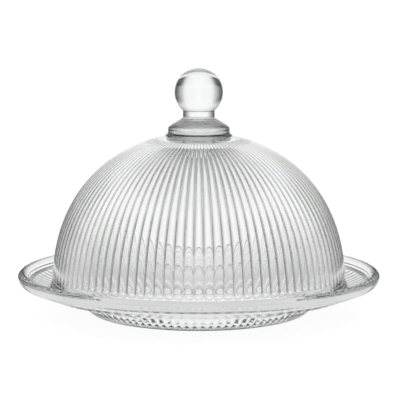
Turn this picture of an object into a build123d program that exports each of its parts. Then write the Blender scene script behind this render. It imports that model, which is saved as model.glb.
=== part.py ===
"""Pressed-glass cheese dome: a dome ribbed inside, with a ball knob, on a footed, ribbed plate.

Every piece is a body of revolution about Z, with ribs evenly spaced round the same axis.
Z = 0 is the plane that the plate's foot stands on, and all sizes are in millimetres.
"""
from build123d import *
from math import acos, asin, cos, degrees, radians, sin, sqrt, tan
import os

os.makedirs("parts", exist_ok=True)

# Driving sizes: plate
flange_width = 12.1  # slope between the dome's ledge and the roll
rim_height = 27.3  # top of the roll above the table
rim_thickness = 7.5  # height of the roll
rim_shoulder_drop = 2.9  # widest point of the roll, below its top
rim_crest_inset = 3.6  # top of the roll, inside its widest point
rim_under_inset = 2.3  # lower edge of the roll, inside its widest point
rim_roll_width = 8.6  # from the widest point in to the flange
plate_wall = 4.5  # thickness of the pressed plate
foot_inset = 25.2  # outer edge of the foot on the table, inside the dome's outside
foot_flare = 39.0  # slope of the foot wall above the table, degrees
foot_band = 1.6  # plain band along the bottom of the foot wall
foot_land = 5.0  # width of the ring that the plate stands on
foot_kick = 1.4  # recess of the bottom inside that ring
seat_height = 16.8  # level of the ledge that the dome stands on
well_floor = 5.2  # top of the well's floor
plate_rib_depth = 0.9  # valley below crest, under the flange and on the foot wall

# Driving sizes: dome
dome_radius = 97.4  # outside, at the base
dome_rise = 101.3  # top of the outside curve above the base
dome_fullness = 2.157  # exponent of the super-ellipse: 2 is an ellipse, more is fuller
dome_wall = 4.6  # from the outside in to a rib's crest, at the base
crown_wall = 7.6  # the same under the knob, where the glass is thicker
band_height = 7.4  # plain band under the ribs
bead_height = 4.6  # thicker bead along the bottom of that band
bead_proud = 0.9  # how far the bead stands out from the band
ceiling_radius = 32.0  # plain ceiling inside the ribs' upper ends
rib_depth_base = 1.25  # from a rib's crest out to a valley, at the band
rib_depth_ceiling = 0.8  # the same at the ceiling
rib_step = 0.3  # step that the plain glass makes with the ribs at both their ends
rib_count = 100  # on the dome and on the plate alike

# Driving sizes: knob
collar_radius = 20.5  # upright side of the collar
collar_spread = 1.7  # how far the collar's lower lip reaches past that side
collar_lip = 2.2  # height of the lip
collar_side = 2.6  # height of the upright side
ogee_height = 6.6  # height of the curve from the side in to the neck
neck_radius = 10.6
neck_height = 4.8
ball_radius = 16.1
bond_thickness = 0.3  # clear adhesive between the knob and the dome

# Clearances
seat_gap = 1.0  # sideways room between the dome's bead and the flange's slope
pad_margin = 0.2  # flat ground on the crown, past the knob's lip
bond_inset = 0.6  # the adhesive stops short of the knob's lip

FULL_TURN = 360
DOME_SECTIONS = 9  # ribbed outlines that the dome's ribs are lofted through
CURVE_POINTS = 9  # points that carry a spline along the super-ellipse


def curve_point(angle, radius, rise):
    """Point (r, height) of the super-ellipse; the angle is 0 at the top and 90 at the base."""
    power = 2 / dome_fullness
    return radius * sin(radians(angle)) ** power, rise * abs(cos(radians(angle))) ** power


def angle_at_height(height, rise):
    """Angle of the super-ellipse at this height."""
    return degrees(acos((height / rise) ** (dome_fullness / 2)))


def angle_at_radius(r, radius):
    """Angle of the super-ellipse at this radius."""
    return degrees(asin((r / radius) ** (dome_fullness / 2)))


def dome_curve(first_angle, last_angle, radius, rise, count=CURVE_POINTS):
    """Points (r, z) of a dome's curve from one angle to another, seated on the plate's ledge."""
    step = (last_angle - first_angle) / (count - 1)
    curve = [curve_point(first_angle + step * index, radius, rise) for index in range(count)]
    return [(r, seat_height + height) for r, height in curve]


def polar(radius, angle):
    """Flat point at this radius and angle in degrees."""
    return radius * cos(radians(angle)), radius * sin(radians(angle))


def ribbed_outline(height, crest, valley):
    """Flat face at this height, bounded by one arc for each rib, between its two valleys."""
    half_pitch = FULL_TURN / rib_count / 2
    with BuildSketch(Plane.XY.offset(height)) as outline:
        with BuildLine():
            rib = ThreePointArc(
                polar(valley, -half_pitch),
                polar(crest, 0),
                polar(valley, half_pitch),
                mode=Mode.PRIVATE,
            )
            with PolarLocations(0, rib_count):
                add(rib)
        make_face()
    return outline.sketch


# Plate: places that follow from the dome that it carries, and from its thickness and slopes
seat_edge = dome_radius + bead_proud + seat_gap
roll_foot = seat_edge + flange_width
rim_radius = roll_foot + rim_roll_width
foot_radius = dome_radius - foot_inset
flare = radians(foot_flare)
under_flange = seat_height - plate_wall
wall_lift = plate_wall / cos(flare)  # height between the two sides of the sloping wall
well_foot = foot_radius + (well_floor - wall_lift) / tan(flare)
well_edge = foot_radius + (seat_height - wall_lift) / tan(flare)
foot_top = foot_radius + under_flange / tan(flare)
band_radius = foot_radius + foot_band / tan(flare)
rim_under = rim_height - rim_thickness
under_radius = rim_radius - rim_under_inset
shoulder = rim_height - rim_shoulder_drop
rim_crest = rim_radius - rim_crest_inset
flange_slope = (rim_under - under_flange) / (under_radius - seat_edge)
roll_foot_height = seat_height + flange_slope * (roll_foot - seat_edge)
roll_under = under_flange + flange_slope * (roll_foot - seat_edge)

with BuildPart() as plate:
    # plain band of the foot
    with BuildSketch(Plane.XZ):
        Polygon((0, 0), (foot_radius, 0), (band_radius, foot_band), (0, foot_band), align=None)
    revolve(axis=Axis.Z)
    # ribbed foot wall, flaring out to the flange
    loft(
        sections=[
            ribbed_outline(foot_band, band_radius, band_radius - plate_rib_depth),
            ribbed_outline(under_flange, foot_top, foot_top - plate_rib_depth),
        ],
        ruled=True,
    )
    # ribbed underside of the flange, up to the roll
    loft(
        sections=[
            ribbed_outline(under_flange, seat_edge, seat_edge - plate_rib_depth),
            ribbed_outline(roll_under, roll_foot, roll_foot - plate_rib_depth),
        ],
        ruled=True,
    )
    # rolled rim, plain underneath
    with BuildSketch(Plane.XZ):
        with BuildLine():
            under = Line((roll_foot, roll_under), (under_radius, rim_under))
            side = Spline(
                under @ 1,
                (rim_radius, shoulder),
                tangents=[(1, 1), (0, 1)],
            )
            top = Spline(side @ 1, (rim_crest, rim_height), tangents=[(0, 1), (-1, 0)])
            Polyline(top @ 1, (0, rim_height), (0, roll_under), under @ 0)
        make_face()
    revolve(axis=Axis.Z)
    # upper side: well, ledge for the dome, sloping flange and inner side of the roll
    with BuildSketch(Plane.XZ):
        with BuildLine():
            floor = Polyline(
                (0, rim_height),
                (0, well_floor),
                (well_foot, well_floor),
                (well_edge, seat_height),
                (seat_edge, seat_height),
                (roll_foot, roll_foot_height),
            )
            inner = Spline(
                floor @ 1,
                (rim_crest, rim_height),
                tangents=[(1, flange_slope), (1, 0)],
            )
            Line(inner @ 1, floor @ 0)
        make_face()
    revolve(axis=Axis.Z, mode=Mode.SUBTRACT)
    # recess inside the ring that the plate stands on
    with BuildSketch(Plane.XY):
        Circle(foot_radius - foot_land)
    extrude(amount=foot_kick, mode=Mode.SUBTRACT)
plate.part.label = "plate"

# Dome: places that follow from its curves
pad_radius = collar_radius + collar_spread + pad_margin
pad_angle = angle_at_radius(pad_radius, dome_radius)
bead_angle = angle_at_height(bead_height, dome_rise)
outside_curve = dome_curve(bead_angle, pad_angle, dome_radius, dome_rise)
bead_radius = outside_curve[0][0]
pad_height = outside_curve[-1][1]
inner_radius = dome_radius - dome_wall
inner_rise = dome_rise - crown_wall
ribs_low = angle_at_height(band_height, inner_rise)
ribs_high = angle_at_radius(ceiling_radius, inner_radius)
rib_curve = dome_curve(ribs_low, ribs_high, inner_radius, inner_rise, DOME_SECTIONS)
band_top_radius, band_top = rib_curve[0]
ceiling_edge = rib_curve[-1][1]
taper = (rib_depth_base - rib_depth_ceiling) / (band_top_radius - ceiling_radius)
rib_sections = [
    ribbed_outline(z, r, r + rib_depth_ceiling + taper * (r - ceiling_radius))
    for r, z in rib_curve
]
ceiling_start = angle_at_radius(ceiling_radius - rib_step, inner_radius)
ceiling_curve = dome_curve(ceiling_start, 0, inner_radius, inner_rise)

with BuildPart() as dome:
    # smooth outside, from the bead that stands on the plate up to the flat pad for the knob
    with BuildSketch(Plane.XZ):
        with BuildLine():
            base = Line((0, seat_height), (bead_radius, seat_height))
            bead = ThreePointArc(
                base @ 1,
                (dome_radius + bead_proud, seat_height + bead_height / 2),
                (bead_radius, seat_height + bead_height),
            )
            shell = Spline(bead @ 1, *outside_curve[1:])
            Polyline(shell @ 1, (0, pad_height), base @ 0)
        make_face()
    revolve(axis=Axis.Z)
    # hollow: plain band, a step outside the valleys
    with BuildSketch(Plane.XZ):
        Polygon(
            (0, seat_height),
            (inner_radius + rib_depth_base + rib_step, seat_height),
            (band_top_radius + rib_depth_base + rib_step, band_top),
            (0, band_top),
            align=None,
        )
    revolve(axis=Axis.Z, mode=Mode.SUBTRACT)
    # hollow: ribs, tapering to the ceiling
    loft(sections=rib_sections, mode=Mode.SUBTRACT)
    # hollow: plain ceiling, a step inside the crests
    with BuildSketch(Plane.XZ):
        with BuildLine():
            ceiling = Spline(*ceiling_curve)
            Polyline(
                ceiling @ 1,
                (0, ceiling_edge),
                (ceiling_radius - rib_step, ceiling_edge),
                ceiling @ 0,
            )
        make_face()
    revolve(axis=Axis.Z, mode=Mode.SUBTRACT)
dome.part.label = "dome"

# Knob: levels from the collar up to the ball
knob_base = pad_height + bond_thickness
lip_top = knob_base + collar_lip
side_top = lip_top + collar_side
neck_base = side_top + ogee_height
neck_top = neck_base + neck_height
ball_centre = neck_top + sqrt(ball_radius**2 - neck_radius**2)

with BuildPart() as knob:
    with BuildSketch(Plane.XZ):
        with BuildLine():
            foot = Line((0, knob_base), (collar_radius + collar_spread, knob_base))
            lip = Spline(foot @ 1, (collar_radius, lip_top), tangents=[(-1, 1), (0, 1)])
            upright = Line(lip @ 1, (collar_radius, side_top))
            ogee = Spline(upright @ 1, (neck_radius, neck_base), tangents=[(0, 1), (-1, 3)])
            neck = Line(ogee @ 1, (neck_radius, neck_top))
            ball = ThreePointArc(
                neck @ 1,
                (ball_radius, ball_centre),
                (0, ball_centre + ball_radius),
            )
            Line(ball @ 1, foot @ 0)
        make_face()
    revolve(axis=Axis.Z)
knob.part.label = "knob"

with BuildPart() as knob_bond:
    with BuildSketch(Plane.XY.offset(pad_height)):
        Circle(collar_radius + collar_spread - bond_inset)
    extrude(amount=bond_thickness)
knob_bond.part.label = "knob_bond"

export_step(plate.part, "parts/plate.step")
export_step(dome.part, "parts/dome.step")
export_step(knob.part, "parts/knob.step")
export_step(knob_bond.part, "parts/knob_bond.step")
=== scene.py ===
"""Looks of a clear pressed-glass cheese dome: ribbed inside, with a ball knob, on a footed plate.

Every piece is a surface of revolution on a numpy grid. The plate and the dome carry raised ribs that
end in rounded fingers. Sizes are in millimetres from the plane that the foot stands on, and become
metres only when a mesh is made.
"""
import logging
from dataclasses import dataclass

import bpy
import numpy as np
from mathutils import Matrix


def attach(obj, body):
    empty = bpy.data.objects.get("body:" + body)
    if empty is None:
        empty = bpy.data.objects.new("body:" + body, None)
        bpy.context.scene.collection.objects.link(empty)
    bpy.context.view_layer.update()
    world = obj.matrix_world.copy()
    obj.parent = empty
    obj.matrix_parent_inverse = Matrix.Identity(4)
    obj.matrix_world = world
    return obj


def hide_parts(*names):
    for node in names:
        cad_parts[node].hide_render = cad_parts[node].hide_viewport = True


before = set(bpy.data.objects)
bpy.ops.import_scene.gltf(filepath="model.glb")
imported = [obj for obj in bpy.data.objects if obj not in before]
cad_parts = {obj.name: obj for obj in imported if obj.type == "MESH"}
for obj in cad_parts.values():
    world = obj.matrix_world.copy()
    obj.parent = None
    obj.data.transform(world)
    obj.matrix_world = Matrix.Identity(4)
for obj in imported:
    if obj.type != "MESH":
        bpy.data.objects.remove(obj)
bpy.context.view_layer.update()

log = logging.getLogger("cheese_dome")

MM = 0.001  # metres
QUARTER_TURN = 90.0  # degrees
RIB_COUNT = 100  # ribs round the dome, and round the plate
RIB_PLACES = np.array([-1.0, -0.96, -0.86, -0.46, 0.0, 0.46, 0.86, 0.96])  # valley, crest, valley
PLAIN_COLUMNS = 192  # columns of a piece without ribs
LEAST_HALF_PITCH = 0.1  # mm, for the rows near the axis
NEAR_ZERO = 1e-9  # shortest normal that is divided by
Profile = np.ndarray  # outline of a turned piece, one row (r, z) for each point


# ---------------------------------------------------------------- outlines
def line(start: tuple[float, float], end: tuple[float, float], count: int) -> Profile:
    """Evenly spaced points of a straight stretch.

    Args:
        start: First point (r, z).
        end: Last point (r, z), which is left out.
        count: How many points.

    Returns:
        Array of shape (count, 2).
    """
    share = np.arange(count)[:, None] / count
    return np.array(start) * (1 - share) + np.array(end) * share


def quarter(start: tuple[float, float], corner: tuple[float, float],
            end: tuple[float, float], count: int) -> Profile:
    """Rounded corner as a quadratic curve: start, pulled towards corner, to end.

    Args:
        start: First point (r, z).
        corner: The point where the two sides would meet.
        end: Last point (r, z), which is left out.
        count: How many points.

    Returns:
        Array of shape (count, 2), with (1-t)^2 start + 2t(1-t) corner + t^2 end.
    """
    t = np.arange(count)[:, None] / count
    return (1 - t) ** 2 * np.array(start) + 2 * t * (1 - t) * np.array(corner) + t ** 2 * np.array(end)


def hermite(start: tuple[float, float], leave: tuple[float, float],
            end: tuple[float, float], arrive: tuple[float, float], count: int) -> Profile:
    """Cubic curve with given ends and end slopes, for an ogee.

    Args:
        start: First point (r, z).
        leave: Direction and pull at the start.
        end: Last point (r, z), which is left out.
        arrive: Direction and pull at the end.
        count: How many points.

    Returns:
        Array of shape (count, 2) of the cubic Hermite curve.
    """
    t = np.arange(count)[:, None] / count
    return ((2 * t ** 3 - 3 * t ** 2 + 1) * np.array(start) + (t ** 3 - 2 * t ** 2 + t) * np.array(leave)
            + (3 * t ** 2 - 2 * t ** 3) * np.array(end) + (t ** 3 - t ** 2) * np.array(arrive))


def resample(profile: Profile, count: int) -> Profile:
    """Points spaced evenly by length along a polyline, its last point left out.

    Args:
        profile: Array (n, 2) of a finely divided outline.
        count: How many points to return.

    Returns:
        Array of shape (count, 2).
    """
    step = np.hypot(*np.diff(profile, axis=0).T)
    travelled = np.concatenate([[0.0], np.cumsum(step)])
    wanted = np.linspace(0, travelled[-1], count, endpoint=False)
    return np.stack([np.interp(wanted, travelled, profile[:, axis]) for axis in (0, 1)], axis=1)


def outward(profile: Profile) -> Profile:
    """Unit normals of an outline, to the left of its direction of travel.

    Args:
        profile: Array (n, 2) of (r, z), walked so that the glass is on the right.

    Returns:
        Array (n, 2) of normals, the mean of the two neighbouring edges' normals.
    """
    tangent = np.gradient(profile, axis=0)
    normal = np.stack([-tangent[:, 1], tangent[:, 0]], axis=1)
    return normal / np.maximum(np.hypot(*normal.T)[:, None], NEAR_ZERO)


# ---------------------------------------------------------------- ribs
@dataclass(frozen=True)
class RibRun:
    """Raised ribs along one stretch of an outline, with plain glass at the valleys' level round them.

    Attributes:
        rows: Slice of the outline's rows that the run covers, its plain margins included.
        first: Distance along the stretch at which the fingers start.
        last: Distance from the stretch's end at which the fingers stop.
        depth_first: Valley below crest at the start.
        depth_last: Valley below crest at the end.
    """

    rows: slice
    first: float
    last: float
    depth_first: float
    depth_last: float

    def offset(self, profile: Profile, across: np.ndarray) -> np.ndarray:
        """How far the surface lies below the crest line, for each row and column.

        A finger's section is the parabola u^2, with u from -1 to 1 over one pitch. Near an end,
        w grows from 0 to 1 over half a pitch and the depth is u^2 + w^2, at most 1, which rounds
        the end as a paraboloid standing on the plain glass.

        Args:
            profile: The whole outline (n, 2).
            across: Place across a rib, -1 to 1, for each column.

        Returns:
            Array (rows of the run, columns) in millimetres.
        """
        part = profile[self.rows]
        travelled = np.concatenate([[0.0], np.cumsum(np.hypot(*np.diff(part, axis=0).T))])
        length = travelled[-1]
        inside = np.minimum(travelled - self.first, length - self.last - travelled)
        depth = self.depth_first + (self.depth_last - self.depth_first) * travelled / length
        half_pitch = np.maximum(np.pi * part[:, 0] / RIB_COUNT, LEAST_HALF_PITCH)
        w = np.clip(1 - inside / half_pitch, 0, 1)
        return depth[:, None] * np.minimum(across[None, :] ** 2 + w[:, None] ** 2, 1)


def column_places(ribbed: bool) -> tuple[np.ndarray, np.ndarray]:
    """Bearing of each column of a turned mesh, and its place across a rib.

    Ribbed glass has a column at each of RIB_PLACES in every rib. They lie close together at the
    valleys, so that the cusp between two ribs stays sharp under smooth shading.

    Args:
        ribbed: Whether the mesh carries ribs.

    Returns:
        Bearings in radians, and places across from -1 to 1.
    """
    if not ribbed:
        return np.arange(PLAIN_COLUMNS) * 2 * np.pi / PLAIN_COLUMNS, np.zeros(PLAIN_COLUMNS)
    across = np.tile(RIB_PLACES, RIB_COUNT)
    rib = np.repeat(np.arange(RIB_COUNT), len(RIB_PLACES))
    return (rib + across / 2) * 2 * np.pi / RIB_COUNT, across


def turned_mesh(name: str, profile: Profile, ribs: tuple[RibRun, ...] = ()) -> bpy.types.Mesh:
    """Closed mesh of an outline turned about Z, with ribs laid on some stretches.

    The outline starts and ends on the axis, so each end becomes one pole vertex with a fan of
    triangles, and the rows between become quads. A vertex is (r cos a, r sin a, z), after r and z
    have moved against the outline's normal by the ribs' offset.

    Args:
        name: Name of the mesh.
        profile: Array (n, 2) of (r, z) in millimetres, walked so that the normals point out.
        ribs: Ribbed stretches.

    Returns:
        The new mesh, shaded smooth.
    """
    angle, across = column_places(bool(ribs))
    columns = len(angle)
    offset = np.zeros((len(profile), columns))
    for run in ribs:
        offset[run.rows] = run.offset(profile, across)
    normal = outward(profile)
    r = profile[:, 0, None] - normal[:, 0, None] * offset
    z = profile[:, 1, None] - normal[:, 1, None] * offset
    ring = np.stack([r * np.cos(angle), r * np.sin(angle), z], axis=2)[1:-1].reshape(-1, 3)
    poles = np.array([[0, 0, profile[0, 1]], [0, 0, profile[-1, 1]]])
    points = np.concatenate([ring, poles]) * MM
    rows = len(profile) - 2
    index = np.arange(rows * columns).reshape(rows, columns)
    after = np.roll(index, -1, axis=1)
    quads = np.stack([index[:-1], index[1:], after[1:], after[:-1]], axis=2).reshape(-1, 4)
    first_fan = np.stack([np.full(columns, rows * columns), index[0], after[0]], axis=1)
    last_fan = np.stack([np.full(columns, rows * columns + 1), after[-1], index[-1]], axis=1)
    loops = np.concatenate([quads.ravel(), first_fan.ravel(), last_fan.ravel()])
    sizes = np.concatenate([np.full(len(quads), 4), np.full(2 * columns, 3)])
    mesh = bpy.data.meshes.new(name)
    mesh.vertices.add(len(points))
    mesh.vertices.foreach_set("co", points.astype(np.float32).ravel())
    mesh.loops.add(len(loops))
    mesh.loops.foreach_set("vertex_index", loops.astype(np.int32))
    mesh.polygons.add(len(sizes))
    mesh.polygons.foreach_set("loop_start", np.concatenate([[0], np.cumsum(sizes)[:-1]]).astype(np.int32))
    mesh.polygons.foreach_set("use_smooth", np.ones(len(sizes), bool))
    mesh.update(calc_edges=True)
    mesh.validate()
    return mesh


# ---------------------------------------------------------------- finishes
@dataclass(frozen=True)
class ClearGlass:
    """Clear pressed glass: a refracting surface with the slow ripple of moulded glass.

    Attributes:
        name: Name of the material.
        ior: Refractive index.
        roughness: Lowest and highest roughness, mixed by a fine noise.
        ripple_scale: Ripples per metre of the slow surface wave.
        ripple_detail: Octaves of that wave.
        ripple_height: Height of that wave in metres.
        grain_scale: Spots per metre of the fine mould grain.
        grain_detail: Octaves of that grain.
        grain_height: Height of that grain in metres.
        tint: Colour that deep glass takes.
        density: Absorption inside the glass, per metre.
    """

    name: str
    ior: float = 1.5
    roughness: tuple[float, float] = (0.0, 0.02)
    ripple_scale: float = 90.0
    ripple_detail: float = 1.0
    ripple_height: float = 0.00002
    grain_scale: float = 900.0
    grain_detail: float = 3.0
    grain_height: float = 0.0000015
    tint: tuple[float, float, float] = (0.82, 0.86, 0.85)
    density: float = 6.0

    def material(self) -> bpy.types.Material:
        """Builds the node tree.

        Returns:
            The material, reading Object coordinates.
        """
        material = bpy.data.materials.new(self.name)
        material.use_nodes = True
        nodes = material.node_tree.nodes
        links = material.node_tree.links
        shader = nodes["Principled BSDF"]
        output = nodes["Material Output"]
        shader.inputs["Base Color"].default_value = (1, 1, 1, 1)
        shader.inputs["Transmission Weight"].default_value = 1.0
        shader.inputs["IOR"].default_value = self.ior
        place = nodes.new("ShaderNodeTexCoord")
        ripple = nodes.new("ShaderNodeTexNoise")
        ripple.inputs["Scale"].default_value = self.ripple_scale
        ripple.inputs["Detail"].default_value = self.ripple_detail
        grain = nodes.new("ShaderNodeTexNoise")
        grain.inputs["Scale"].default_value = self.grain_scale
        grain.inputs["Detail"].default_value = self.grain_detail
        spread = nodes.new("ShaderNodeMapRange")
        spread.inputs["To Min"].default_value = self.roughness[0]
        spread.inputs["To Max"].default_value = self.roughness[1]
        wave = nodes.new("ShaderNodeBump")
        wave.inputs["Distance"].default_value = self.ripple_height
        fine = nodes.new("ShaderNodeBump")
        fine.inputs["Distance"].default_value = self.grain_height
        inside = nodes.new("ShaderNodeVolumeAbsorption")
        inside.inputs["Color"].default_value = (*self.tint, 1)
        inside.inputs["Density"].default_value = self.density
        for texture in (ripple, grain):
            links.new(place.outputs["Object"], texture.inputs["Vector"])
        links.new(grain.outputs["Fac"], spread.inputs["Value"])
        links.new(spread.outputs["Result"], shader.inputs["Roughness"])
        links.new(ripple.outputs["Fac"], wave.inputs["Height"])
        links.new(grain.outputs["Fac"], fine.inputs["Height"])
        links.new(wave.outputs["Normal"], fine.inputs["Normal"])
        links.new(fine.outputs["Normal"], shader.inputs["Normal"])
        links.new(inside.outputs["Volume"], output.inputs["Volume"])
        return material


def add_piece(mesh: bpy.types.Mesh, body: str, node: str,
              material: bpy.types.Material) -> bpy.types.Object:
    """Puts a finished mesh in the scene in place of a CAD node.

    Args:
        mesh: The piece's mesh, in the row frame.
        body: CAD body that it rides on.
        node: CAD node that it stands for.
        material: Its finish.

    Returns:
        The new object.
    """
    piece = bpy.data.objects.new(mesh.name, mesh)
    bpy.context.scene.collection.objects.link(piece)
    mesh.materials.append(material)
    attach(piece, body)
    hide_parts(node)
    log.info("%s: %d vertices, rides on %s", piece.name, len(mesh.vertices), body)
    return piece


# ---------------------------------------------------------------- pieces
@dataclass
class Plate:
    """The footed plate: well, ledge for the dome, sloping flange and rolled rim.

    Attributes are in millimetres, heights above the foot's plane. A rounding is the distance of a
    corner curve's two ends from the corner, before it and after it. A pull is the length of a
    curve's tangent at a joint, before it and after it.
    """

    rim_radius: float = 120.0
    rim_height: float = 27.3
    rim_thickness: float = 7.5
    shoulder_drop: float = 2.9
    crest_inset: float = 3.6
    under_inset: float = 2.3
    roll_width: float = 8.6
    wall: float = 4.5
    foot_radius: float = 72.2
    foot_flare: float = 39.0
    foot_band: float = 1.6
    foot_land: float = 5.0
    foot_kick: float = 1.4
    seat_height: float = 16.8
    seat_edge: float = 99.3
    well_floor: float = 5.2
    rib_depth: float = 0.9
    rib_margin: float = 0.3
    well_rounding: tuple[float, float] = (3.0, 2.4)
    ledge_rounding: tuple[float, float] = (2.0, 2.2)
    seat_rounding: float = 1.0
    toe_rounding: tuple[float, float] = (0.6, 1.2)
    land_rounding: tuple[float, float] = (0.4, 0.3)
    kick_rounding: tuple[float, float] = (0.6, 1.6)
    roll_pull: float = 4.0
    crest_pull: float = 4.6
    shoulder_pull: tuple[float, float] = (3.4, 4.0)
    under_pull: tuple[float, float] = (3.4, 1.6)

    def build(self, glass: bpy.types.Material) -> bpy.types.Object:
        """Turns the outline, from the axis on top, round the rim, to the axis below.

        Args:
            glass: Finish of the plate.

        Returns:
            The finished piece.
        """
        tilt = np.tan(np.radians(self.foot_flare))
        lift = self.wall / np.cos(np.radians(self.foot_flare))
        under = self.seat_height - self.wall
        rim_under = self.rim_height - self.rim_thickness
        under_radius = self.rim_radius - self.under_inset
        slope = (rim_under - under) / (under_radius - self.seat_edge)
        roll_foot = self.rim_radius - self.roll_width
        roll_rise = slope * (roll_foot - self.seat_edge)
        roll_end = (under_radius, rim_under)
        top = self.top_outline(tilt, lift, slope, (roll_foot, self.seat_height + roll_rise), roll_end)
        below = self.under_outline(tilt, under, roll_end, (roll_foot, under + roll_rise))
        starts = np.cumsum([sum(len(part) for part in top)] + [len(part) for part in below])
        ribs = tuple(
            RibRun(slice(starts[place], starts[place + 1] + 1), self.rib_margin, self.rib_margin,
                   self.rib_depth, self.rib_depth)
            for place in (1, 3)
        )
        mesh = turned_mesh("plate_glass_body", np.concatenate(top + below), ribs)
        return add_piece(mesh, "plate", "plate", glass)

    def top_outline(self, tilt: float, lift: float, slope: float, roll_start: tuple[float, float],
                    roll_end: tuple[float, float]) -> list[Profile]:
        """Outline of the top: well, ledge, flange and rolled rim.

        Args:
            tilt: Rise of the foot's wall over its run.
            lift: Thickness of that wall, measured upright.
            slope: Rise of the flange over its run.
            roll_start: Where the flange meets the roll.
            roll_end: Lower edge of the roll.

        Returns:
            Stretches of (r, z), in order.
        """
        floor, seat = self.well_floor, self.seat_height
        well_foot = self.foot_radius + (floor - lift) / tilt
        well_edge = self.foot_radius + (seat - lift) / tilt
        before, after = self.well_rounding
        floor_end = (well_foot - before, floor)
        wall_start = (well_foot + after, floor + after * tilt)
        before, after = self.ledge_rounding
        wall_end = (well_edge - before, seat - before * tilt)
        ledge_start = (well_edge + after, seat)
        ledge_end = (self.seat_edge - self.seat_rounding, seat)
        flange_start = (self.seat_edge + self.seat_rounding, seat + self.seat_rounding * slope)
        crest = (self.rim_radius - self.crest_inset, self.rim_height)
        shoulder = (self.rim_radius, self.rim_height - self.shoulder_drop)
        arriving, leaving = self.shoulder_pull
        inward, down = self.under_pull
        return [
            line((0, floor), floor_end, 5),
            quarter(floor_end, (well_foot, floor), wall_start, 5),
            line(wall_start, wall_end, 4),
            quarter(wall_end, (well_edge, seat), ledge_start, 4),
            line(ledge_start, ledge_end, 3),
            quarter(ledge_end, (self.seat_edge, seat), flange_start, 3),
            line(flange_start, roll_start, 4),
            hermite(roll_start, (self.roll_pull, self.roll_pull * slope), crest, (self.crest_pull, 0), 9),
            hermite(crest, (self.crest_pull, 0), shoulder, (0, -arriving), 7),
            hermite(shoulder, (0, -leaving), roll_end, (-inward, -down), 6),
        ]

    def under_outline(self, tilt: float, under: float, roll_end: tuple[float, float],
                      roll_under: tuple[float, float]) -> list[Profile]:
        """Outline of the underside: flange, foot wall, band, standing ring and recess.

        Args:
            tilt: Rise of the foot's wall over its run.
            under: Height of the ledge's underside.
            roll_end: Lower edge of the roll.
            roll_under: Where the flange's ribs end at the roll.

        Returns:
            Stretches of (r, z), in order. The second and the fourth are ribbed.
        """
        flange_foot = (self.seat_edge, under)
        wall_top = (self.foot_radius + under / tilt, under)
        band = (self.foot_radius + self.foot_band / tilt, self.foot_band)
        before, after = self.toe_rounding
        toe = (self.foot_radius + before, before * tilt)
        land_start = (self.foot_radius - after, 0)
        land_inner = self.foot_radius - self.foot_land
        before, after = self.land_rounding
        land_end = (land_inner + before, 0)
        kick_side = (land_inner - after, self.foot_kick / 2)
        before, after = self.kick_rounding
        kick_corner = (land_inner - before, self.foot_kick)
        recess = (land_inner - after, self.foot_kick)
        return [
            line(roll_end, roll_under, 4),
            line(roll_under, flange_foot, 16),
            line(flange_foot, wall_top, 8),
            line(wall_top, band, 20),
            line(band, toe, 3),
            quarter(toe, (self.foot_radius, 0), land_start, 5),
            line(land_start, land_end, 2),
            quarter(land_end, (land_inner, 0), kick_side, 2),
            quarter(kick_side, kick_corner, recess, 3),
            line(recess, (0, self.foot_kick), 4),
            np.array([[0, self.foot_kick]]),
        ]


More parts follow.
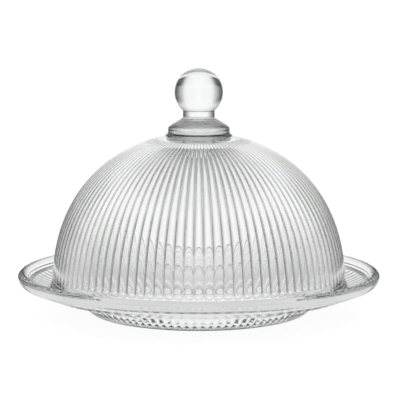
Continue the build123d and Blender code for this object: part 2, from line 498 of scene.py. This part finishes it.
@dataclass
class Dome:
    """The dome: a smooth super-ellipse of revolution outside, ribbed inside.

    Attributes are in millimetres, heights above the foot's plane or the ledge. A pull is the tangent
    (r, z) of a curve at a joint. The ribs' rows lie closer within end_angles of their two ends.
    """

    seat_height: float = 16.8
    stand_gap: float = 0.05
    radius: float = 97.4
    rise: float = 101.3
    fullness: float = 2.157
    wall: float = 4.6
    crown_wall: float = 7.6
    band_height: float = 7.4
    bead_height: float = 4.6
    bead_proud: float = 0.9
    ceiling_radius: float = 32.0
    rib_depth_base: float = 1.25
    rib_depth_crown: float = 0.8
    pad_radius: float = 22.4
    pad_rounding: float = 1.0
    foot_rounding: tuple[float, float] = (1.2, 1.1)
    plain_start: float = 1.3
    bead_round: float = 1.6
    shell_pull: tuple[float, float] = (0.5, -1.6)
    bead_pulls: tuple[float, float] = (2.2, 2.6)
    base_pull: float = 2.6
    end_angles: tuple[float, float] = (5.0, 4.0)

    def curve(self, low: float, high: float, radius: float, rise: float, count: int = 400) -> Profile:
        """Finely divided super-ellipse (|r/a|^n + |z/b|^n = 1) between two angles.

        Args:
            low: First angle in degrees, 90 at the base and 0 at the top.
            high: Last angle.
            radius: Half width a.
            rise: Height b.
            count: How many points.

        Returns:
            Array (count, 2) of (r, z).
        """
        angle = np.radians(np.linspace(low, high, count))
        power = 2 / self.fullness
        r = radius * np.clip(np.sin(angle), 0, 1) ** power
        z = rise * np.clip(np.cos(angle), 0, 1) ** power
        return np.stack([r, z + self.seat_height], axis=1)

    def angle_at_height(self, height: float, rise: float) -> float:
        """Angle in degrees at which a curve is this far above the base."""
        return float(np.degrees(np.arccos((height / rise) ** (self.fullness / 2))))

    def angle_at_radius(self, r: float, radius: float) -> float:
        """Angle in degrees at which a curve has this radius."""
        return float(np.degrees(np.arcsin((r / radius) ** (self.fullness / 2))))

    def build(self, glass: bpy.types.Material) -> bpy.types.Object:
        """Turns the outline, from the pad on top, down the smooth outside, and up the ribs inside.

        Args:
            glass: Finish of the dome.

        Returns:
            The finished piece.
        """
        base = self.seat_height + self.stand_gap
        inner_radius = self.radius - self.wall
        inner_rise = self.rise - self.crown_wall
        pad = self.angle_at_radius(self.pad_radius, self.radius)
        bead_top = self.angle_at_height(self.bead_height, self.rise)
        shell = self.curve(pad, bead_top, self.radius, self.rise)
        pad_height = float(shell[0, 1])
        bead_end = (float(shell[-1, 0]), float(shell[-1, 1]))
        bead_low = self.radius + self.bead_proud
        bead_middle = (bead_low, self.seat_height + self.bead_height / 2)
        bead_base = (bead_low - self.bead_round, base)
        above, under = self.bead_pulls
        outer = [
            line((0, pad_height), (self.pad_radius - self.pad_rounding, pad_height), 3),
            resample(shell, 30),
            hermite(bead_end, self.shell_pull, bead_middle, (0, -above), 4),
            hermite(bead_middle, (0, -under), bead_base, (-self.base_pull, 0), 4),
        ]
        across, up = self.foot_rounding
        foot = inner_radius + self.rib_depth_base
        foot_start = (foot + across, base)
        below = [
            line(bead_base, foot_start, 2),
            quarter(foot_start, (foot, base), (foot, base + up), 3),
        ]
        start = self.angle_at_height(self.plain_start, inner_rise)
        low = self.angle_at_height(self.band_height, inner_rise)
        high = self.angle_at_radius(self.ceiling_radius, inner_radius)
        low_inner = low - self.end_angles[0]
        high_inner = high + self.end_angles[1]
        bounds = ((start, low, 3), (low, low_inner, 8), (low_inner, high_inner, 44),
                  (high_inner, high, 10), (high, 0, 4))
        stretches = [
            resample(self.curve(near, far, inner_radius, inner_rise), rows) for near, far, rows in bounds
        ]
        plain_rows, ceiling_rows = bounds[0][2], bounds[-1][2]
        first = sum(len(part) for part in outer + below)
        inner = np.concatenate(stretches + [np.array([[0, self.seat_height + inner_rise]])])
        step = np.concatenate([[0.0], np.cumsum(np.hypot(*np.diff(inner, axis=0).T))])
        ceiling = step[-1] - step[-1 - ceiling_rows]
        run = RibRun(slice(first, first + len(inner)), step[plain_rows], ceiling,
                     self.rib_depth_base, self.rib_depth_crown)
        profile = np.concatenate(outer + below + [inner])
        mesh = turned_mesh("dome_glass_body", profile, (run,))
        return add_piece(mesh, "dome", "dome", glass)


@dataclass
class Knob:
    """The solid ball knob: collar, ogee, neck and ball, on a thin film of adhesive.

    Attributes are in millimetres, and a pull is the tangent (r, z) of a curve at its two ends. The
    ball keeps a faint seam: above seam_angle degrees from its top it is smaller by seam_step, and
    the change takes about seam_width degrees.
    """

    base_height: float = 116.105
    bond_thickness: float = 0.3
    film_overlap: float = 0.02
    film_radius: float = 21.6
    collar_radius: float = 20.5
    collar_spread: float = 1.7
    collar_lip: float = 2.2
    collar_side: float = 2.6
    ogee_height: float = 6.6
    neck_radius: float = 10.6
    neck_height: float = 4.8
    ball_radius: float = 16.1
    seam_angle: float = 37.0
    seam_width: float = 0.5
    seam_step: float = 0.18
    neck_rounding: float = 0.6
    ogee_start: tuple[float, float] = (1.6, -0.7)
    ogee_pulls: tuple[tuple[float, float], tuple[float, float]] = ((3.6, -3.4), (0.4, -4.6))
    lip_rounding: float = 0.35
    lip_pulls: tuple[tuple[float, float], tuple[float, float]] = ((0, -1.6), (1.7, -0.6))
    film_rounding: float = 0.15
    ball_rows: int = 72

    def build(self, glass: bpy.types.Material) -> bpy.types.Object:
        """Turns the knob's outline, from the ball's top to the axis under the collar.

        Args:
            glass: Finish of the knob.

        Returns:
            The finished piece.
        """
        low = self.base_height + self.bond_thickness
        lip = low + self.collar_lip
        side = lip + self.collar_side
        neck_low = side + self.ogee_height
        neck_top = neck_low + self.neck_height
        ball = neck_top + np.sqrt(self.ball_radius ** 2 - self.neck_radius ** 2)
        crease = np.degrees(np.arccos((neck_top - ball) / self.ball_radius))
        angle = np.radians(np.linspace(0, crease, self.ball_rows))
        seam = 1 / (1 + np.exp((np.degrees(angle) - self.seam_angle) / self.seam_width))
        radius = self.ball_radius - self.seam_step * seam
        sphere = np.stack([radius * np.sin(angle), ball + radius * np.cos(angle)], axis=1)
        wide = self.collar_radius + self.collar_spread
        neck_foot = (self.neck_radius, neck_low)
        neck_end = (self.neck_radius, neck_low + self.neck_rounding)
        ogee = (self.neck_radius + self.ogee_start[0], neck_low + self.ogee_start[1])
        collar_top = (self.collar_radius, side)
        collar_end = (self.collar_radius, lip)
        lip_end = (wide, low + self.lip_rounding)
        lip_base = (wide - self.lip_rounding, low)
        parts = [
            sphere[:-1],
            line((self.neck_radius, neck_top), neck_end, 5),
            quarter(neck_end, neck_foot, ogee, 4),
            hermite(ogee, self.ogee_pulls[0], collar_top, self.ogee_pulls[1], 16),
            line(collar_top, collar_end, 4),
            hermite(collar_end, self.lip_pulls[0], lip_end, self.lip_pulls[1], 6),
            quarter(lip_end, (wide, low), lip_base, 3),
            line(lip_base, (0, low), 4),
            np.array([[0, low]]),
        ]
        mesh = turned_mesh("knob_glass_body", np.concatenate(parts))
        return add_piece(mesh, "dome", "knob", glass)

    def build_film(self, adhesive: bpy.types.Material) -> bpy.types.Object:
        """Turns the film of adhesive, which reaches a hair into the glass on both sides.

        Args:
            adhesive: Finish of the film.

        Returns:
            The finished piece.
        """
        low = self.base_height - self.film_overlap
        high = self.base_height + self.bond_thickness + self.film_overlap
        edge = self.film_radius
        inset = edge - self.film_rounding
        middle = (low + high) / 2
        parts = [
            line((0, high), (inset, high), 4),
            quarter((inset, high), (edge, high), (edge, middle), 4),
            quarter((edge, middle), (edge, low), (inset, low), 4),
            line((inset, low), (0, low), 4),
            np.array([[0, low]]),
        ]
        mesh = turned_mesh("knob_bond_film", np.concatenate(parts))
        return add_piece(mesh, "dome", "knob_bond", adhesive)


# ---------------------------------------------------------------- studio
@dataclass(frozen=True)
class Stops:
    """Brightness against place, as the stops of a ramp.

    Attributes:
        places: Places of the stops, from 0 to 1.
        levels: Brightness at each stop.
    """

    places: tuple[float, ...]
    levels: tuple[float, ...]

    def ramp(self, tree: bpy.types.NodeTree) -> bpy.types.Node:
        """Adds the stops as a ramp.

        Args:
            tree: Node tree to add to.

        Returns:
            The ramp node.
        """
        node = tree.nodes.new("ShaderNodeValToRGB")
        node.color_ramp.interpolation = "B_SPLINE"
        elements = node.color_ramp.elements
        while len(elements) < len(self.places):
            elements.new(0.5)
        for element, place, level in zip(elements, self.places, self.levels):
            element.position = place
            element.color = (level, level, level, 1)
        return node


@dataclass
class Studio:
    """Pale floor, a tent and a glowing disc with a painted shadow for the glass to draw, and the camera.

    The tent and the disc are seen only in and through the glass. The tent's brightness depends on
    the bearing, from the back wall's middle (0) to the front's (1), and on the height. The disc's
    depends on the distance from the axis over the tent's radius, and it is darker in a ring under the
    plate's flange and rim: a painted shadow of the plate. Lengths are in millimetres.

    Attributes:
        wall: Brightness of the tent's wall by bearing.
        skirting: The same along the bottom of the wall.
        skirting_height: Heights between which the skirting fades into the wall.
        upper_rise: Heights between which the wall fades towards white.
        upper_share: How far it fades.
        ceiling_fall: Heights between which the light falls off towards the lid.
        ceiling_level: Share of the light that is left there.
        disc_glow_painted_shadow: Brightness of the disc by distance, with the plate's painted shadow as a
            darker ring.
        focal_share: Focal length over the sensor's width.
        side_shift: Shift of the picture sideways, over its width.
    """

    floor_drop: float = 0.2
    floor_half: float = 3000.0
    floor_glow: float = 0.92
    floor_grey: float = 0.14
    floor_roughness: float = 0.9
    world_glow: float = 1.05
    ring_points: int = 96
    tent_radius: float = 230.0
    tent_height: float = 430.0
    wall: Stops = Stops(
        (0.0, 0.10, 0.13, 0.15, 0.185, 0.22, 0.27, 0.34, 0.41, 0.45,
         0.50, 0.55, 0.59, 0.68, 0.73, 0.77, 0.82, 0.92, 0.96, 1.0),
        (1.0, 1.0, 0.93, 0.66, 0.46, 0.32, 0.18, 0.06, 0.02, 0.90,
         0.95, 0.90, 0.02, 0.02, 0.70, 0.70, 0.02, 0.02, 0.80, 0.90))
    skirting: Stops = Stops(
        (0.0, 0.10, 0.14, 0.17, 0.20, 0.30, 0.34, 0.41, 0.45, 0.50,
         0.55, 0.59, 0.68, 0.73, 0.77, 0.82, 0.92, 0.96, 1.0),
        (1.0, 1.0, 0.70, 0.30, 0.08, 0.03, 0.03, 0.02, 0.80, 0.80,
         0.80, 0.02, 0.02, 0.60, 0.60, 0.02, 0.02, 0.80, 0.90))
    skirting_height: tuple[float, float] = (75.0, 105.0)
    upper_rise: tuple[float, float] = (190.0, 260.0)
    upper_share: float = 0.75
    ceiling_fall: tuple[float, float] = (220.0, 420.0)
    ceiling_level: float = 0.30
    # Painted shadow of the plate: the disc's glow dips in a ring about 90 to 145 mm from the axis, under
    # the flange and rim.
    disc_glow_painted_shadow: Stops = Stops((0.0, 0.26, 0.40, 0.50, 0.62, 0.80, 1.0),
                         (0.95, 0.92, 0.76, 0.66, 0.80, 0.95, 0.97))
    camera_distance: float = 900.0
    camera_height: float = 180.2
    camera_drop: float = 6.78
    sensor_width: float = 36.0
    focal_share: float = 1363.2 / 400
    side_shift: float = 0.003
    glass_bounces: int = 24
    gloss_bounces: int = 8
    clear_bounces: int = 16

    def floor(self) -> None:
        """White table, which glows so that it stays pale under the glass."""
        half = self.floor_half * MM
        z = -self.floor_drop * MM
        mesh = bpy.data.meshes.new("floor")
        corners = [(-half, -half, z), (half, -half, z), (half, half, z), (-half, half, z)]
        mesh.from_pydata(corners, [], [(0, 1, 2, 3)])
        floor = bpy.data.objects.new("floor", mesh)
        bpy.context.scene.collection.objects.link(floor)
        material = bpy.data.materials.new("pale_table")
        material.use_nodes = True
        shader = material.node_tree.nodes["Principled BSDF"]
        shader.inputs["Base Color"].default_value = (self.floor_grey, self.floor_grey, self.floor_grey, 1)
        shader.inputs["Roughness"].default_value = self.floor_roughness
        shader.inputs["Specular IOR Level"].default_value = 0.0
        shader.inputs["Emission Color"].default_value = (1, 1, 1, 1)
        shader.inputs["Emission Strength"].default_value = self.floor_glow
        mesh.materials.append(material)

    def tent_material(self) -> bpy.types.Material:
        """Glow of the tent's cloth, by bearing and height."""
        material = bpy.data.materials.new("tent_cloth")
        material.use_nodes = True
        tree = material.node_tree
        nodes = tree.nodes
        links = tree.links
        nodes.clear()

        def maths(operation: str, first: bpy.types.NodeSocket,
                  second: bpy.types.NodeSocket | float | None = None) -> bpy.types.NodeSocket:
            """Adds a maths node and returns its result."""
            node = nodes.new("ShaderNodeMath")
            node.operation = operation
            for socket, value in zip(node.inputs, (first, second)):
                if isinstance(value, bpy.types.NodeSocket):
                    links.new(value, socket)
                elif value is not None:
                    socket.default_value = value
            return node.outputs["Value"]

        def fade(value: bpy.types.NodeSocket, near: float, far: float, start: float,
                 stop: float) -> bpy.types.NodeSocket:
            """Adds a smooth fade of a value between two places and returns it."""
            node = nodes.new("ShaderNodeMapRange")
            node.interpolation_type = "SMOOTHSTEP"
            range_ends = {"From Min": near, "From Max": far, "To Min": start, "To Max": stop}
            for name, number in range_ends.items():
                node.inputs[name].default_value = number
            links.new(value, node.inputs["Value"])
            return node.outputs["Result"]

        def blend(factor: bpy.types.NodeSocket, first: bpy.types.NodeSocket,
                  second: bpy.types.NodeSocket | None) -> bpy.types.NodeSocket:
            """Adds a blend of two colours, the second white if not given, and returns it."""
            node = nodes.new("ShaderNodeMix")
            node.data_type = "RGBA"
            links.new(factor, node.inputs["Factor"])
            colours = [socket for socket in node.inputs if socket.type == "RGBA"]
            links.new(first, colours[0])
            colours[1].default_value = (1, 1, 1, 1)
            if second is not None:
                links.new(second, colours[1])
            return next(socket for socket in node.outputs if socket.type == "RGBA")

        place = nodes.new("ShaderNodeTexCoord")
        split = nodes.new("ShaderNodeSeparateXYZ")
        links.new(place.outputs["Object"], split.inputs["Vector"])
        aside = maths("ABSOLUTE", split.outputs["X"])
        bearing = maths("DIVIDE", maths("ARCTAN2", aside, split.outputs["Y"]), np.pi)
        height = split.outputs["Z"]
        levels = []
        for stops in (self.skirting, self.wall):
            ramp = stops.ramp(tree)
            links.new(bearing, ramp.inputs["Fac"])
            levels.append(ramp.outputs["Color"])
        low, high = self.skirting_height
        wall = blend(fade(height, low * MM, high * MM, 0, 1), levels[0], levels[1])
        low, high = self.upper_rise
        wall = blend(fade(height, low * MM, high * MM, 0, self.upper_share), wall, None)
        low, high = self.ceiling_fall
        glow = nodes.new("ShaderNodeEmission")
        links.new(wall, glow.inputs["Color"])
        links.new(fade(height, low * MM, high * MM, 1, self.ceiling_level), glow.inputs["Strength"])
        output = nodes.new("ShaderNodeOutputMaterial")
        links.new(glow.outputs["Emission"], output.inputs["Surface"])
        return material

    def disc_painted_shadow_material(self) -> bpy.types.Material:
        """Glow of the disc on the table by distance from the axis over the tent's radius, darker in a
        ring under the plate's flange and rim: a painted shadow of the plate.
        """
        material = bpy.data.materials.new("table_glow_painted_shadow")
        material.use_nodes = True
        tree = material.node_tree
        tree.nodes.clear()
        place = tree.nodes.new("ShaderNodeTexCoord")
        reach = tree.nodes.new("ShaderNodeVectorMath")
        reach.operation = "LENGTH"
        share = tree.nodes.new("ShaderNodeMath")
        share.operation = "DIVIDE"
        share.inputs[1].default_value = self.tent_radius * MM
        # The ramp paints the plate's shadow as a darker ring in the disc's glow.
        ramp = self.disc_glow_painted_shadow.ramp(tree)
        glow = tree.nodes.new("ShaderNodeEmission")
        output = tree.nodes.new("ShaderNodeOutputMaterial")
        tree.links.new(place.outputs["Object"], reach.inputs[0])
        tree.links.new(reach.outputs["Value"], share.inputs[0])
        tree.links.new(share.outputs["Value"], ramp.inputs["Fac"])
        tree.links.new(ramp.outputs["Color"], glow.inputs["Color"])
        tree.links.new(glow.outputs["Emission"], output.inputs["Surface"])
        return material

    def hide_from_table(self, thing: bpy.types.Object) -> None:
        """Leaves a stage object seen only in and through the glass.

        Args:
            thing: The stage object.
        """
        bpy.context.scene.collection.objects.link(thing)
        thing.visible_camera = False
        thing.visible_diffuse = False
        thing.visible_shadow = False

    def ring(self, height: float) -> np.ndarray:
        """Points of the tent's round outline at a height, as an array of (x, y, z)."""
        turn = np.arange(self.ring_points) * 2 * np.pi / self.ring_points
        level = np.full(self.ring_points, height)
        return np.column_stack([np.cos(turn) * self.tent_radius, np.sin(turn) * self.tent_radius, level])

    def table_glow_painted_shadow(self) -> None:
        """Round glowing disc just over the table inside the tent, with a painted shadow of the plate,
        seen only in and through the glass.
        """
        # The disc carries a painted shadow of the plate, not a cloth's own colour.
        points = self.ring(-self.floor_drop / 2) * MM
        mesh = bpy.data.meshes.new("table_glow_painted_shadow")
        mesh.from_pydata(points.tolist(), [], [list(range(self.ring_points))])
        mesh.materials.append(self.disc_painted_shadow_material())
        self.hide_from_table(bpy.data.objects.new("table_glow_painted_shadow", mesh))

    def tent(self) -> None:
        """Upright round wall with a lid, seen only in and through the glass."""
        lid = [[0, 0, self.tent_height]]
        points = np.concatenate([self.ring(0), self.ring(self.tent_height), lid]) * MM
        count = self.ring_points
        here = np.arange(count)
        after = (here + 1) % count
        faces = np.column_stack([here, after, after + count, here + count]).tolist()
        faces += np.column_stack([here + count, after + count, np.full(count, 2 * count)]).tolist()
        mesh = bpy.data.meshes.new("light_tent")
        mesh.from_pydata(points.tolist(), [], faces)
        mesh.materials.append(self.tent_material())
        self.hide_from_table(bpy.data.objects.new("light_tent", mesh))

    def world(self) -> None:
        """Even white surroundings."""
        world = bpy.data.worlds.new("studio")
        bpy.context.scene.world = world
        world.use_nodes = True
        back = world.node_tree.nodes["Background"]
        back.inputs["Color"].default_value = (1, 1, 1, 1)
        back.inputs["Strength"].default_value = self.world_glow

    def camera(self) -> None:
        """Camera at eye level over the table, looking slightly down."""
        data = bpy.data.cameras.new("camera")
        data.sensor_width = self.sensor_width
        data.lens = data.sensor_width * self.focal_share
        data.shift_x = self.side_shift
        camera = bpy.data.objects.new("camera", data)
        bpy.context.scene.collection.objects.link(camera)
        camera.location = (0, -self.camera_distance * MM, self.camera_height * MM)
        camera.rotation_euler = (np.radians(QUARTER_TURN - self.camera_drop), 0, 0)
        bpy.context.scene.camera = camera

    def build(self) -> None:
        """Sets the whole studio."""
        self.floor()
        self.table_glow_painted_shadow()
        self.tent()
        self.world()
        self.camera()
        scene = bpy.context.scene
        scene.view_settings.view_transform = "Standard"
        scene.cycles.max_bounces = self.glass_bounces
        scene.cycles.transmission_bounces = self.glass_bounces
        scene.cycles.glossy_bounces = self.gloss_bounces
        scene.cycles.transparent_max_bounces = self.clear_bounces


def main() -> None:
    """Builds the pieces in order, then the studio."""
    logging.basicConfig(level=logging.INFO, format="%(name)s %(message)s")
    Plate().build(ClearGlass("plate_pressed_glass").material())
    Dome().build(ClearGlass("dome_pressed_glass").material())
    knob = Knob()
    knob.build(ClearGlass("knob_fire_polished_glass", ripple_height=0.00001).material())
    knob.build_film(ClearGlass("clear_cured_adhesive", ior=1.48).material())
    Studio().build()


if __name__ == "__main__":
    main()
